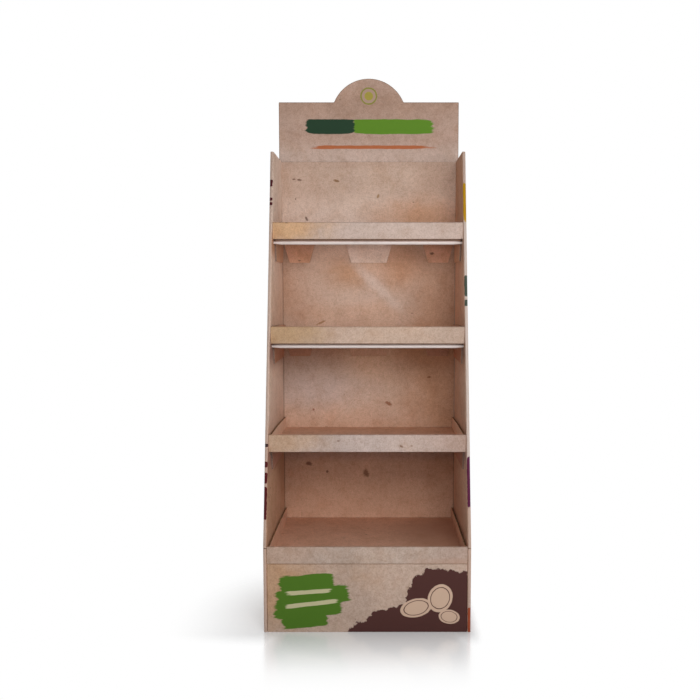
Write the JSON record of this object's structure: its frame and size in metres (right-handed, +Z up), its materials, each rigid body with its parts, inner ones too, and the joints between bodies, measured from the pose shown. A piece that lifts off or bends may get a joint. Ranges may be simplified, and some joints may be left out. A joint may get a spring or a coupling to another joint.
{
  "type": "cardboard display stand",
  "caption": "Floor-standing printed cardboard display stand with sloping sides, lipped shelf trays on steel support bars, and an arched header card",
  "frame": {"origin": "middle of the footprint, on the floor", "axes": "+Z up, -Y towards the shopper, +X to the right seen from the front"},
  "size_m": [0.5, 0.3984, 1.4049],
  "materials": {
    "printed_board": "matte",
    "kraft_board": "matte",
    "coated_steel": "satin"
  },
  "bodies": {
    "root": {"body_wrap": "printed_board", "header_card": "printed_board", "base_front": "printed_board", "bottom_tray": "printed_board", "lower_tray": "printed_board", "middle_tray": "printed_board", "top_tray": "printed_board", "lower_support": "printed_board", "middle_support": "printed_board", "top_support": "printed_board", "base_cross_rib": "kraft_board", "base_left_rib": "kraft_board", "base_right_rib": "kraft_board", "middle_bar": "coated_steel", "top_bar": "coated_steel"}
  },
  "joints": []
}
